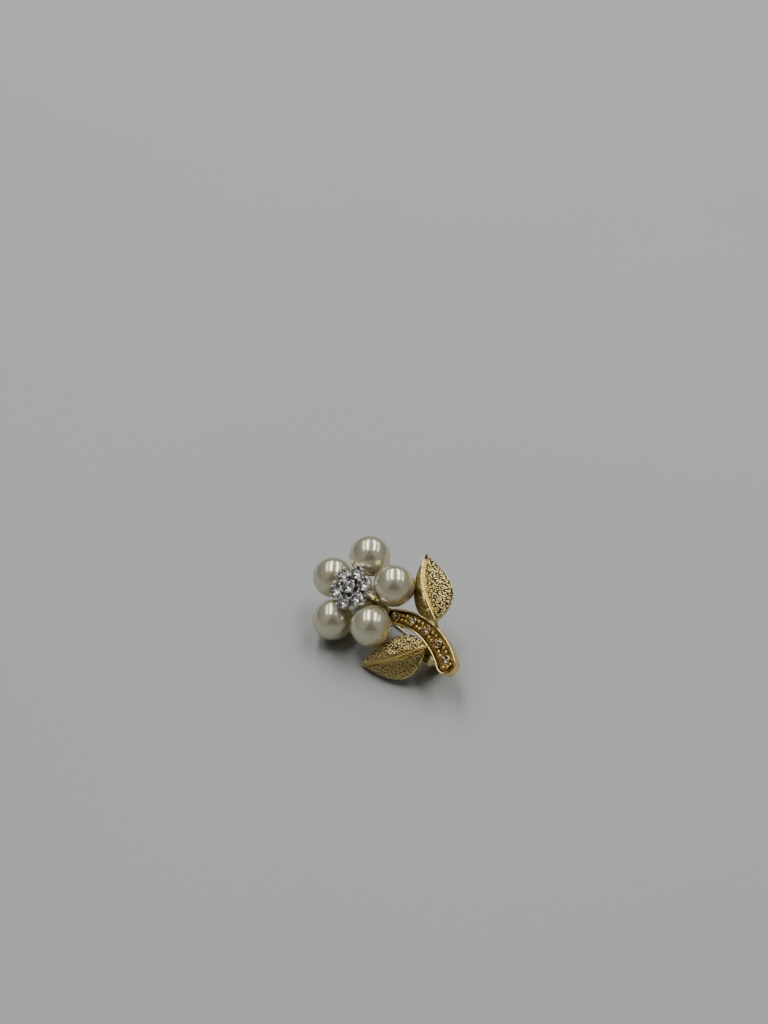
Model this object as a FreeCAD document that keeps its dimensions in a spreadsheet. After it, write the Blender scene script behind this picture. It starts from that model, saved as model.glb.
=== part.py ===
"""A flower brooch: five bead pearls round a stone cluster, a stone-set stem, two leaves and a safety pin.

The brooch is drawn in its own plane: X to the right, Y up the flower, Z out of the face, with the
origin at the flower's middle, level with the pearls' centres.  At the end every piece is turned
together, so that the brooch lies on a table the way it settles: on the seat disc behind one lower
pearl, the back of its catch and the back of its hinge.
"""

import FreeCAD, Part
import math
import os
from FreeCAD import Placement, Rotation, Vector

UP = Vector(0, 0, 1)

doc = FreeCAD.newDocument("brooch")
sheet = doc.addObject("Spreadsheet::Sheet", "sizes")

SIZES = {
    # flower
    "pearl_diameter": 8.0,
    "pearl_bore_radius": 0.45,
    "pearl_bore_depth": 4.6,
    "pearl_ring_radius": 7.48,
    "first_pearl_angle": 68.2,
    "cup_film": 0.03,
    "cup_wall": 0.45,
    "cup_rim_radius": 2.3,
    "cup_height": 1.25,
    "pearl_nest_gap": 0.06,
    "peg_radius": 0.40,
    "peg_length": 3.4,
    # openwork base of the flower
    "base_top": -4.4,
    "base_thickness": 1.0,
    "hub_radius": 1.7,
    "hub_boss_radius": 1.25,
    "hub_boss_height": 1.0,
    "hub_hole_radius": 0.78,
    "arm_width": 1.1,
    "seat_disc_radius": 1.3,
    "tail_width": 1.8,
    "tail_length": 9.4,
    "tail_heading": -46.0,
    "eyelet_radius": 0.62,
    "eyelet_wire": 0.24,
    "eyelet_reach": 2.3,
    "catch_pad_radius": 1.9,
    # stone cluster
    "stone_radius": 1.10,
    "stone_ring_radius": 3.05,
    "first_stone_angle": 55.7,
    "ring_stone_level": 3.95,
    "centre_stone_level": 4.5,
    "stone_girdle": 0.06,
    "stone_culet_radius": 0.02,
    "collet_wall": 0.22,
    "collet_height": 1.15,
    "stone_gap": 0.03,
    "prong_radius": 0.24,
    "prong_rise": 0.42,
    "basket_foot_radius": 1.3,
    "basket_foot_level": -3.35,
    "basket_top_radius": 3.5,
    "basket_top_level": 2.85,
    "basket_wall": 0.5,
    "post_radius": 0.75,
    "post_head_radius": 1.3,
    "post_head_height": 0.35,
    "post_top_level": -2.5,
    # stem
    "stem_bend_radius": 14.82,
    "stem_bend_x": 0.63,
    "stem_bend_y": -19.34,
    "stem_end_angle": 8.8,
    "stem_sweep": 65.5,
    "stem_mean_half_width": 0.86,
    "stem_flare": 1.14,
    "stem_top": -2.4,
    "stem_thickness": 2.0,
    "rail_width": 0.42,
    "channel_depth": 1.0,
    "stem_stone_radius": 0.76,
    "stem_stone_level": -2.78,
    "stem_stone_step": 14.4,
    "seat_wall": 0.18,
    "bead_radius": 0.36,
    "end_bead_reach": 1.3,
    "first_seat_inset": 3.1,
    # leaves
    "leaf_length": 14.0,
    "leaf_half_width": 4.1,
    "leaf_wall": 0.75,
    "leaf_cross_radius": 6.0,
    "leaf_long_radius": 24.0,
    "leaf_crest_level": -1.44,
    "midrib_rise": 0.35,
    "midrib_half_width": 0.42,
    "midrib_tip_half_width": 0.12,
    "leaf_upper_x": 14.2,
    "leaf_upper_y": -8.5,
    "leaf_upper_turn": 93.0,
    "leaf_upper_bow": 1.15,
    "leaf_upper_tail": 1.8,
    "leaf_lower_x": 11.5,
    "leaf_lower_y": -13.0,
    "leaf_lower_turn": 181.0,
    "leaf_lower_bow": 0.75,
    "leaf_lower_tail": 0.95,
    # pin, hinge and catch
    "pin_heading": -45.5,
    "pin_line_offset": -1.6,
    "hinge_reach": 17.0,
    "catch_reach": 4.0,
    "pin_level": -8.9,
    "pin_radius": 0.45,
    "pin_tip_radius": 0.06,
    "pin_past_catch": 1.9,
    "pin_point_length": 3.0,
    "eye_radius": 1.1,
    "eye_width": 1.3,
    "rivet_radius": 0.40,
    "rivet_head_radius": 0.75,
    "rivet_head_height": 0.3,
    "rivet_running_gap": 0.04,
    "rivet_seat_gap": 0.02,
    "ear_thickness": 0.6,
    "ear_half_width": 2.0,
    "ear_side_gap": 0.06,
    "foot_plate_thickness": 0.6,
    "hinge_plate_length": 4.4,
    "hinge_plate_width": 3.6,
    "catch_outer_radius": 1.9,
    "catch_bore_radius": 1.32,
    "catch_width": 2.2,
    "catch_mouth": 1.15,
    "catch_neck_width": 2.0,
    "lock_radius": 1.27,
    "lock_bore_radius": 0.62,
    "lock_flange_radius": 1.85,
    "lock_flange_width": 0.7,
    "lock_flange_gap": 0.08,
    "tab_reach": 2.7,
    "tab_width": 1.3,
    # how the brooch rests on a table
    "lean_heading": -47.35,
    "lean_angle": 41.15,
    "table_turn": -1.75,
}


def fill_sheet():
    """One driving dimension a row: the number in column A, its name as the alias."""
    for row, (name, value) in enumerate(SIZES.items(), start=1):
        sheet.set(f"A{row}", str(value))
        sheet.setAlias(f"A{row}", name)
    doc.recompute()


fill_sheet()


def size(name):
    """A driving dimension read back from the sheet."""
    return float(getattr(sheet, name))


def heading(degrees, reach=1.0, level=0.0):
    """The point at this reach from the origin in this direction of the brooch's plane."""
    angle = math.radians(degrees)
    return Vector(reach * math.cos(angle), reach * math.sin(angle), level)


def at(x=0.0, y=0.0, z=0.0, turn=0.0):
    return Placement(Vector(x, y, z), Rotation(UP, turn))


SUB_PARTS = []


def sub_part(obj, name, place=None):
    """Registers a finished piece: its Label is the node's name, place is where it sits in the brooch."""
    obj.Label = name
    SUB_PARTS.append((obj, place or Placement()))
    return obj


def solid(kind, place=None, **expressions):
    """A Part primitive whose sizes are expressions in the sheet's names."""
    obj = doc.addObject("Part::" + kind, kind)
    for prop, text in expressions.items():
        obj.setExpression(prop, text)
    obj.Placement = place or Placement()
    return obj


def fuse(shapes):
    obj = doc.addObject("Part::MultiFuse", "Fuse")
    obj.Shapes = shapes
    obj.Refine = True
    return obj


def common(shapes):
    obj = doc.addObject("Part::MultiCommon", "Common")
    obj.Shapes = shapes
    return obj


def cut(base, tool):
    obj = doc.addObject("Part::Cut", "Cut")
    obj.Base = base
    obj.Tool = tool
    return obj


def turned(name, profile):
    """A PartDesign body turned about its own Z axis.

    profile lists (radius, height) corners as expressions in the sheet's names, all of them zero or
    more; corners with radius "0" lie on the axis.
    """
    import Sketcher

    body = doc.addObject("PartDesign::Body", name)
    sketch = body.newObject("Sketcher::SketchObject", name + "_profile")
    planes = {feature.Role: feature for feature in body.Origin.OriginFeatures}
    sketch.AttachmentSupport = [(planes["XZ_Plane"], "")]
    sketch.MapMode = "FlatFace"
    guess = [Vector(1.0 * (radius != "0"), index, 0) for index, (radius, _) in enumerate(profile)]
    count = len(profile)
    for index in range(count):
        line = Part.LineSegment(guess[index], guess[(index + 1) % count])
        sketch.addGeometry(line, False)
    for index in range(count):
        after = (index + 1) % count
        sketch.addConstraint(Sketcher.Constraint("Coincident", index, 2, after, 1))
    for index, (radius, height) in enumerate(profile):
        if radius == "0":
            sketch.addConstraint(Sketcher.Constraint("PointOnObject", index, 1, -2))
        else:
            place_corner(sketch, "DistanceX", index, radius)
        if height == "0":
            sketch.addConstraint(Sketcher.Constraint("PointOnObject", index, 1, -1))
        else:
            place_corner(sketch, "DistanceY", index, height)
    turn = body.newObject("PartDesign::Revolution", name + "_turning")
    turn.Profile = sketch
    turn.ReferenceAxis = (sketch, ["V_Axis"])
    turn.Angle = 360.0
    body.Tip = turn
    return body


def place_corner(sketch, direction, index, text):
    """Ties one corner of a sketch to the sheet along one direction."""
    import Sketcher

    start = getattr(sketch.Geometry[index], "StartPoint")
    value = start.x if direction == "DistanceX" else start.y
    number = sketch.addConstraint(
        Sketcher.Constraint(direction, -1, 1, index, 1, max(value, 0.1))
    )
    sketch.setExpression(f"Constraints[{number}]", text)


# ---------------------------------------------------------------- pearls and their peg cups


def pearl(place, name):
    """A bead with a blind hole from below, which the cup's peg is glued into."""
    ball = solid("Sphere", Radius="sizes.pearl_diameter / 2")
    start = -size("pearl_diameter") / 2 - 0.2
    bore = solid(
        "Cylinder",
        at(z=start),
        Radius="sizes.pearl_bore_radius",
        Height="sizes.pearl_bore_depth + 0.2",
    )
    return sub_part(cut(ball, bore), name, place)


def pearl_cup(place, name):
    """A shallow spun cup with a peg: a spherical shell cut to a rim, and the peg on its axis."""
    outer = solid("Sphere", Radius="sizes.pearl_diameter / 2 + sizes.cup_film + sizes.cup_wall")
    inner = solid("Sphere", Radius="sizes.pearl_diameter / 2 + sizes.cup_film")
    bottom = -(size("pearl_diameter") / 2 + size("cup_film") + size("cup_wall"))
    rim = solid(
        "Cylinder",
        at(z=bottom - 0.01),
        Radius="sizes.cup_rim_radius",
        Height="sizes.cup_height",
    )
    peg = solid(
        "Cylinder",
        at(z=bottom + size("cup_wall") / 2),
        Radius="sizes.peg_radius",
        Height="sizes.peg_length",
    )
    return sub_part(fuse([cut(common([outer, rim]), inner), peg]), name, place)


def pearl_places():
    ring = size("pearl_ring_radius")
    first = size("first_pearl_angle")
    return [Placement(heading(first + 72 * step, ring), Rotation()) for step in range(5)]


def pearl_nest(number):
    """The round hollow that a piece beside this pearl is filed to, a little larger than the pearl."""
    place = pearl_places()[number - 1]
    return solid("Sphere", place, Radius="sizes.pearl_diameter / 2 + sizes.pearl_nest_gap")


def flower():
    for number, place in enumerate(pearl_places(), start=1):
        pearl(place, f"pearl_{number}")
        pearl_cup(place, f"pearl_cup_{number}")


# ---------------------------------------------------------------- openwork base of the flower


def base_bar(turn, width, length):
    """One flat arm from the hub: a box along X, turned about the flower's middle."""
    bar = solid("Box", Length=length, Width=width, Height="sizes.base_thickness")
    low = size("base_top") - size("base_thickness")
    half = size(width.split(".")[1]) / 2
    bar.Placement = at(z=low, turn=turn) * at(y=-half)
    return bar


def disc(centre, radius):
    low = size("base_top") - size("base_thickness")
    return solid(
        "Cylinder",
        at(centre.x, centre.y, low),
        Radius=radius,
        Height="sizes.base_thickness",
    )


def pin_frame():
    """The pin's own axes: X along the pin towards its hinge, Z out of the brooch's face."""
    foot = heading(size("pin_heading") + 90, size("pin_line_offset"))
    return at(foot.x, foot.y, 0, size("pin_heading"))


def flower_base():
    """Hub, five arms with a disc under each cup, a tail under the stem, a pad for the catch."""
    first = size("first_pearl_angle")
    pieces = [disc(Vector(), "sizes.hub_radius")]
    boss = solid("Cylinder", at(z=size("base_top")), Radius="sizes.hub_boss_radius")
    boss.setExpression("Height", "sizes.hub_boss_height")
    pieces.append(boss)
    for step in range(5):
        pieces.append(base_bar(first + 72 * step, "sizes.arm_width", "sizes.pearl_ring_radius"))
        middle = heading(first + 72 * step, size("pearl_ring_radius"))
        pieces.append(disc(middle, "sizes.seat_disc_radius"))
        eyelet = solid("Torus", Radius1="sizes.eyelet_radius", Radius2="sizes.eyelet_wire")
        between = heading(first + 72 * step + 36, size("eyelet_reach"))
        level = size("base_top") - size("base_thickness") / 2
        eyelet.Placement = at(between.x, between.y, level)
        pieces.append(eyelet)
    pieces.append(base_bar(size("tail_heading"), "sizes.tail_width", "sizes.tail_length"))
    catch = pin_frame().multVec(Vector(-size("catch_reach"), 0, 0))
    pieces.append(disc(catch, "sizes.catch_pad_radius"))
    hole = solid(
        "Cylinder",
        at(z=size("base_top") - size("base_thickness") - 0.1),
        Radius="sizes.hub_hole_radius",
        Height="sizes.base_thickness + sizes.hub_boss_height + 0.2",
    )
    return sub_part(cut(fuse(pieces), hole), "flower_base")


# ---------------------------------------------------------------- stone cluster


PAVILION_SHARE = 0.80  # of the stone's radius, down from the girdle
CROWN_SHARE = 0.32
TABLE_SHARE = 0.58
SEAT_LIP = 0.05  # how far a collet stands over its stone's girdle
CENTRE_PRONG_TURN = 20


def round_stone(place, name, radius):
    """A round-cut stone: pavilion cone up to the girdle, then the crown up to the table."""
    depth = PAVILION_SHARE * size(radius.split(".")[1])
    pavilion = solid(
        "Cone",
        at(z=-depth),
        Radius1="sizes.stone_culet_radius",
        Radius2=radius,
        Height=f"{radius} * {PAVILION_SHARE}",
    )
    girdle = solid("Cylinder", Radius=radius, Height="sizes.stone_girdle")
    crown = solid(
        "Cone",
        at(z=size("stone_girdle")),
        Radius1=radius,
        Radius2=f"{radius} * {TABLE_SHARE}",
        Height=f"{radius} * {CROWN_SHARE}",
    )
    return sub_part(fuse([pavilion, girdle, crown]), name, place)


def cluster_stone_places():
    centre = Placement(Vector(0, 0, size("centre_stone_level")), Rotation())
    ring = size("stone_ring_radius")
    first = size("first_stone_angle")
    level = size("ring_stone_level")
    around = [Placement(heading(first + 60 * k, ring, level), Rotation()) for k in range(6)]
    return [centre] + around


def collet(place):
    """The tube that one stone sits in."""
    low = place.Base.z + SEAT_LIP - size("collet_height")
    wall = "sizes.stone_radius + sizes.stone_gap + sizes.collet_wall"
    where = at(place.Base.x, place.Base.y, low)
    outer = solid("Cylinder", where, Radius=wall, Height="sizes.collet_height")
    bore = solid(
        "Cylinder",
        at(place.Base.x, place.Base.y, low - 0.1),
        Radius="sizes.stone_radius + sizes.stone_gap",
        Height="sizes.collet_height + 0.2",
    )
    return outer, bore


def prongs(place, turn):
    """Four posts round a collet, standing a little over the stone's girdle."""
    made = []
    reach = size("stone_radius") + size("stone_gap") + size("prong_radius")
    low = place.Base.z + SEAT_LIP - size("collet_height")
    for quarter in range(4):
        spot = place.Base + heading(turn + 90 * quarter, reach)
        made.append(
            solid(
                "Cylinder",
                at(spot.x, spot.y, low),
                Radius="sizes.prong_radius",
                Height="sizes.collet_height + sizes.prong_rise",
            )
        )
    return made


def cluster_setting():
    """Seven collets with prongs on a flared basket, hollow inside, with a hole for the post."""
    low, top = size("basket_foot_level"), size("basket_top_level")
    flare = solid(
        "Cone",
        at(z=low),
        Radius1="sizes.basket_foot_radius",
        Radius2="sizes.basket_top_radius",
        Height="sizes.basket_top_level - sizes.basket_foot_level",
    )
    floor = low + 2 * size("basket_wall")
    hollow = solid(
        "Cone",
        at(z=floor),
        Radius1="sizes.basket_foot_radius - sizes.basket_wall / 2",
        Radius2="sizes.basket_top_radius - sizes.basket_wall",
        Height="sizes.basket_top_level - sizes.basket_foot_level - 3 * sizes.basket_wall",
    )
    hole = solid(
        "Cylinder",
        at(z=low - 0.1),
        Radius="sizes.post_radius + sizes.stone_gap",
        Height="2 * sizes.basket_wall + 0.2",
    )
    tubes, bores, posts = [], [], []
    for index, place in enumerate(cluster_stone_places()):
        outer, bore = collet(place)
        tubes.append(outer)
        bores.append(bore)
        outwards = size("first_stone_angle") + 60 * (index - 1)
        turn = outwards + 45 if index else CENTRE_PRONG_TURN
        posts += prongs(place, turn)
    riser = solid(
        "Cylinder",
        at(z=top - 0.05),
        Radius="sizes.stone_radius + sizes.stone_gap + sizes.collet_wall",
        Height="sizes.centre_stone_level - sizes.collet_height - sizes.basket_top_level + 0.15",
    )
    body = fuse([cut(flare, fuse([hollow, hole])), riser] + tubes + posts)
    seats = fuse(bores)
    return sub_part(cut(body, seats), "cluster_setting")


def cluster_post():
    """The rivet that holds the cluster: a head behind the base and a shank up into the basket."""
    shank = "sizes.post_top_level - sizes.base_top + sizes.base_thickness"
    profile = [
        ("0", "0"),
        ("sizes.post_head_radius", "0"),
        ("sizes.post_head_radius", "sizes.post_head_height"),
        ("sizes.post_radius", "sizes.post_head_height"),
        ("sizes.post_radius", f"sizes.post_head_height + {shank}"),
        ("0", f"sizes.post_head_height + {shank}"),
    ]
    body = turned("cluster_post_body", profile)
    low = size("base_top") - size("base_thickness") - size("post_head_height")
    return sub_part(body, "cluster_post", at(z=low))


def cluster():
    cluster_setting()
    cluster_post()
    places = cluster_stone_places()
    round_stone(places[0], "cluster_stone_centre", "sizes.stone_radius")
    for number, place in enumerate(places[1:], start=1):
        round_stone(place, f"cluster_stone_{number}", "sizes.stone_radius")


# ---------------------------------------------------------------- stem


def stem_point(angle, side=0.0, level=0.0):
    """A point of the stem: angle along its bend, side across it (outwards is positive)."""
    spot = heading(angle, size("stem_bend_radius") + side)
    return Vector(size("stem_bend_x") + spot.x, size("stem_bend_y") + spot.y, level)


def curved_strip(inset, low, height, sweep):
    """A flaring curved strip with a round end, between two discs whose centres are pulled apart."""
    end = size("stem_end_angle")
    pull = heading(end, size("stem_flare"))
    x, y = size("stem_bend_x"), size("stem_bend_y")
    half = f"(sizes.stem_mean_half_width - {inset})"
    outer = solid(
        "Cylinder",
        at(x + pull.x, y + pull.y, low),
        Radius=f"sizes.stem_bend_radius + {half}",
        Height=height,
    )
    inner = solid(
        "Cylinder",
        at(x - pull.x, y - pull.y, low - 0.1),
        Radius=f"sizes.stem_bend_radius - {half}",
        Height=f"{height} + 0.2",
    )
    sector = solid(
        "Cylinder",
        at(x, y, low, end),
        Radius="sizes.stem_bend_radius * 1.4",
        Height=height,
        Angle=sweep,
    )
    tip = stem_point(end, 0, low)
    cap = solid(
        "Cylinder",
        at(tip.x, tip.y, low),
        Radius=f"{half} + sizes.stem_flare",
        Height=height,
    )
    return fuse([common([sector, cut(outer, inner)]), cap])


def stem_stone_angles():
    """Where the five stones sit along the bend, the first of them at the rounded end."""
    first = size("stem_end_angle") + size("first_seat_inset")
    return [first + size("stem_stone_step") * step for step in range(5)]


def stem_half_width(angle):
    turn = math.radians(angle - size("stem_end_angle"))
    return size("stem_mean_half_width") + size("stem_flare") * math.cos(turn)


BEAD_SUNK_SHARE = 0.6  # of the bead's radius, its centre over the channel's floor
BEAD_SPREAD_SHARE = 0.42  # of the channel's half width
BEAD_SHARES = ((-0.12, -1), (-0.12, 1), (0.12, -0.9), (0.12, 0.9))  # along the step, and sideways
END_BEAD_TURNS = (-125, -90, -55)


def stem_beads():
    """Four grains between each pair of stones and three past the last one, at the round end."""
    step = size("stem_stone_step")
    level = size("stem_top") - size("channel_depth") + BEAD_SUNK_SHARE * size("bead_radius")
    spots = []
    for angle in stem_stone_angles()[:-1]:
        spread = BEAD_SPREAD_SHARE * (stem_half_width(angle + step / 2) - size("rail_width"))
        for along, side in BEAD_SHARES:
            spots.append(stem_point(angle + step * (0.5 + along), spread * side, level))
    tip = stem_point(stem_stone_angles()[0], 0, level)
    for turn in END_BEAD_TURNS:
        spots.append(tip + heading(turn + size("stem_end_angle"), size("end_bead_reach")))
    places = [Placement(spot, Rotation()) for spot in spots]
    return [solid("Sphere", place, Radius="sizes.bead_radius") for place in places]


END_WALL_TURN = 1.6  # degrees of the bend, the channel's wall at the flower's end
SEAT_DROP = 0.25  # a seat's rim under the rail


def stem():
    """A cast channel with a raised rail all round, grains, and a small round seat for each stone."""
    low = size("stem_top") - size("stem_thickness")
    floor = size("stem_top") - size("channel_depth")
    blank = curved_strip("0", low, "sizes.stem_thickness", "sizes.stem_sweep")
    channel = curved_strip(
        "sizes.rail_width", floor, "sizes.channel_depth + 0.1", f"sizes.stem_sweep - {END_WALL_TURN}"
    )
    tubes, bores = [], []
    for angle in stem_stone_angles():
        spot = stem_point(angle, 0, floor - SEAT_LIP)
        place = Placement(spot, Rotation())
        outer = "sizes.stem_stone_radius + sizes.stone_gap + sizes.seat_wall"
        rise = f"sizes.channel_depth - {SEAT_DROP}"
        tubes.append(solid("Cylinder", place, Radius=outer, Height=rise))
        bore = solid(
            "Cylinder",
            place,
            Radius="sizes.stem_stone_radius + sizes.stone_gap",
            Height="2 * sizes.channel_depth",
        )
        bores.append(bore)
    filled = fuse([cut(blank, channel)] + stem_beads() + tubes)
    return sub_part(cut(filled, fuse(bores + [pearl_nest(4)])), "stem")


def stem_stones():
    level = size("stem_stone_level")
    for number, angle in enumerate(reversed(stem_stone_angles()), start=1):
        place = Placement(stem_point(angle, 0, level), Rotation())
        round_stone(place, f"stem_stone_{number}", "sizes.stem_stone_radius")


# ---------------------------------------------------------------- leaves


LEAF_SIDE_SHARES = ((0, 0), (0.12, 0.60), (0.40, 1), (0.70, 0.66), (0.90, 0.20), (1, 0))
CREST_SHARE = 0.45  # of the leaf's length, where its long arch is highest
RIB_END_SHARE = 0.93
RIB_WAIST_SHARE = 0.75
PRISM_HEIGHT = 6


def leaf_side(side):
    """Half of the leaf's outline, from its base at the origin to its tip on X, as one spline."""
    length = size("leaf_length")
    wide = size("leaf_half_width") * side
    points = [Vector(x * length, y * wide, 0) for x, y in LEAF_SIDE_SHARES]
    curve = Part.BSplineCurve()
    curve.interpolate(points)
    return curve.toShape()


def barrel(rise):
    """The solid under the leaf's arched surface: an arc along the leaf, turned about a line below."""
    length = size("leaf_length")
    depth = size("leaf_cross_radius")
    crest = CREST_SHARE * length
    ends = (-2.0, crest, length + 2.0)
    sag = [(x - crest) ** 2 / (2 * size("leaf_long_radius")) for x in ends]
    over = [Vector(x, 0, rise - drop) for x, drop in zip(ends, sag)]
    under = [Vector(ends[0], 0, -depth), Vector(ends[2], 0, -depth)]
    outline = Part.Wire(
        [
            Part.Arc(*over).toShape(),
            Part.LineSegment(over[2], under[1]).toShape(),
            Part.LineSegment(under[1], under[0]).toShape(),
            Part.LineSegment(under[0], over[0]).toShape(),
        ]
    )
    return Part.Face(outline).revolve(Vector(0, 0, -depth), Vector(1, 0, 0), 360)


def upright(wire):
    """A prism over a flat outline, tall enough for the leaf's arch and its midrib."""
    face = Part.Face(wire)
    face.translate(Vector(0, 0, -2 * PRISM_HEIGHT / 3))
    return face.extrude(Vector(0, 0, PRISM_HEIGHT))


def midrib_outline(name):
    """A slim tapered strip that bows to one side between its tail, past the base, and the tip."""
    bow = size(f"{name}_bow")
    length = size("leaf_length")
    half = size("midrib_half_width")
    slim = size("midrib_tip_half_width")
    tail, end = -size(f"{name}_tail"), RIB_END_SHARE * length
    waist = RIB_WAIST_SHARE * half
    near, far = Vector(tail, half, 0), Vector(end, slim, 0)
    upper = Part.Arc(near, Vector(length / 2, bow + waist, 0), far).toShape()
    near_low, far_low = Vector(tail, -half, 0), Vector(end, -slim, 0)
    lower = Part.Arc(far_low, Vector(length / 2, bow - waist, 0), near_low).toShape()
    tip = Part.LineSegment(far, far_low).toShape()
    back = Part.LineSegment(near_low, near).toShape()
    return Part.Wire([upper, tip, lower, back])


def leaf(name):
    """An arched, hollow-backed leaf with a raised midrib that runs on into the stem."""
    blade = upright(Part.Wire([leaf_side(1), leaf_side(-1)]))
    blade = blade.common(barrel(0)).cut(barrel(-size("leaf_wall")))
    rib = upright(midrib_outline(name))
    rib = rib.common(barrel(size("midrib_rise"))).cut(barrel(-size("leaf_wall") / 2))
    base_x, base_y = size(f"{name}_x"), size(f"{name}_y")
    place = at(base_x, base_y, size("leaf_crest_level"), size(f"{name}_turn"))
    cast = blade.fuse(rib)
    for neighbour in pearl_places()[3:]:
        nest = Part.makeSphere(size("pearl_diameter") / 2 + size("pearl_nest_gap"))
        nest.Placement = place.inverse() * neighbour
        cast = cast.cut(nest)
    feature = doc.addObject("Part::Feature", name)
    feature.Shape = cast.removeSplitter()
    return sub_part(feature, name, place)


def leaves():
    """The upper leaf stands along the flower's side, the lower one lies back under the pearls."""
    leaf("leaf_upper")
    leaf("leaf_lower")


# ---------------------------------------------------------------- hinge, pin and safety catch


def across(width, radius, low):
    """A cylinder about the hinge's axis, which lies across the pin, from low along that axis."""
    start = Vector(size("hinge_reach"), low, size("pin_level"))
    lying = Placement(start, Rotation(Vector(1, 0, 0), -90))
    return solid("Cylinder", lying, Radius=radius, Height=width)


def hinge_base():
    """A foot plate soldered behind the stem, with two round-ended ears bored for the rivet."""
    reach = size("hinge_reach")
    top = size("stem_top") - size("stem_thickness")
    plate = solid(
        "Box",
        Length="sizes.hinge_plate_length",
        Width="sizes.hinge_plate_width",
        Height="sizes.foot_plate_thickness",
    )
    plate.Placement = at(
        reach - size("hinge_plate_length") / 2,
        -size("hinge_plate_width") / 2,
        top - size("foot_plate_thickness"),
    )
    pieces = [plate]
    inner = size("eye_width") / 2 + size("ear_side_gap")
    for low in (inner, -inner - size("ear_thickness")):
        pieces.append(across("sizes.ear_thickness", "sizes.ear_half_width", low))
        cheek = solid(
            "Box",
            at(reach - size("ear_half_width"), low, size("pin_level")),
            Length="2 * sizes.ear_half_width",
            Width="sizes.ear_thickness",
            Height="sizes.stem_top - sizes.stem_thickness - sizes.pin_level - 0.1",
        )
        pieces.append(cheek)
    side = -size("hinge_plate_width") / 2
    bore = across("sizes.hinge_plate_width", "sizes.rivet_radius + sizes.rivet_seat_gap", side)
    return sub_part(cut(fuse(pieces), bore), "hinge_base", pin_frame())


def hinge_rivet():
    """The rivet through both ears, with a flat head on each side."""
    span = "(sizes.eye_width + 2 * sizes.ear_side_gap + 2 * sizes.ear_thickness)"
    head = "sizes.rivet_head_height"
    gap = "2 * sizes.rivet_seat_gap"
    profile = [
        ("0", "0"),
        ("sizes.rivet_head_radius", "0"),
        ("sizes.rivet_head_radius", head),
        ("sizes.rivet_radius", head),
        ("sizes.rivet_radius", f"{head} + {span} + {gap}"),
        ("sizes.rivet_head_radius", f"{head} + {span} + {gap}"),
        ("sizes.rivet_head_radius", f"2 * {head} + {span} + {gap}"),
        ("0", f"2 * {head} + {span} + {gap}"),
    ]
    body = turned("hinge_rivet_body", profile)
    half = size("eye_width") / 2 + size("ear_side_gap") + size("ear_thickness")
    half += size("rivet_seat_gap") + size("rivet_head_height")
    middle = Vector(size("hinge_reach"), -half, size("pin_level"))
    lying = Placement(middle, Rotation(Vector(1, 0, 0), -90))
    return sub_part(body, "hinge_rivet", pin_frame() * lying)


def pin_stem():
    """The pin: an eye on the rivet, a straight wire, and a long point past the catch."""
    back = Rotation(Vector(0, 1, 0), -90)
    start = Vector(size("hinge_reach"), 0, size("pin_level"))
    wire = solid("Cylinder", Placement(start, back), Radius="sizes.pin_radius")
    wire.setExpression(
        "Height",
        "sizes.hinge_reach + sizes.catch_reach + sizes.pin_past_catch - sizes.pin_point_length",
    )
    doc.recompute()
    wire_length = wire.Height.Value
    point = solid(
        "Cone",
        Placement(start - Vector(wire_length, 0, 0), back),
        Radius1="sizes.pin_radius",
        Radius2="sizes.pin_tip_radius",
        Height="sizes.pin_point_length",
    )
    eye = across("sizes.eye_width", "sizes.eye_radius", -size("eye_width") / 2)
    side = -size("hinge_plate_width") / 2
    bore = across("sizes.hinge_plate_width", "sizes.rivet_radius + sizes.rivet_running_gap", side)
    return sub_part(cut(fuse([wire, point, eye]), bore), "pin_stem", pin_frame())


def along(radius, width, start):
    """A cylinder about the pin's line, from start towards the hinge."""
    lying = Placement(Vector(start, 0, size("pin_level")), Rotation(Vector(0, 1, 0), 90))
    return solid("Cylinder", lying, Radius=radius, Height=width)


def mouth(start, width):
    """The slot that lets the pin in, from the pin's line straight away from the brooch's back."""
    slot = solid("Box", Length=width, Width="sizes.catch_mouth", Height="sizes.tab_reach")
    slot.Placement = at(start, -size("catch_mouth") / 2, size("pin_level") - size("tab_reach"))
    return slot


def catch_housing():
    """An open ring on a foot: the pin's point lies in it, and the lock turns inside it."""
    start = -size("catch_reach") - size("catch_width") / 2
    ring = along("sizes.catch_outer_radius", "sizes.catch_width", start)
    bore = along("sizes.catch_bore_radius", "sizes.catch_width + 0.2", start - 0.1)
    top = size("base_top") - size("base_thickness")
    neck_low = size("pin_level") + size("catch_bore_radius") + 0.1
    neck = solid("Box", Length="sizes.catch_width", Width="sizes.catch_neck_width")
    neck.setExpression(
        "Height",
        "sizes.base_top - sizes.base_thickness - sizes.pin_level - sizes.catch_bore_radius - 0.1",
    )
    neck.Placement = at(start, -size("catch_neck_width") / 2, neck_low)
    foot = solid(
        "Cylinder",
        at(-size("catch_reach"), 0, top - size("foot_plate_thickness")),
        Radius="sizes.catch_pad_radius",
        Height="sizes.foot_plate_thickness",
    )
    slot = mouth(start - 0.1, "sizes.catch_width + 0.2")
    body = cut(fuse([ring, neck, foot]), fuse([bore, slot]))
    return sub_part(body, "catch_housing", pin_frame())


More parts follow.
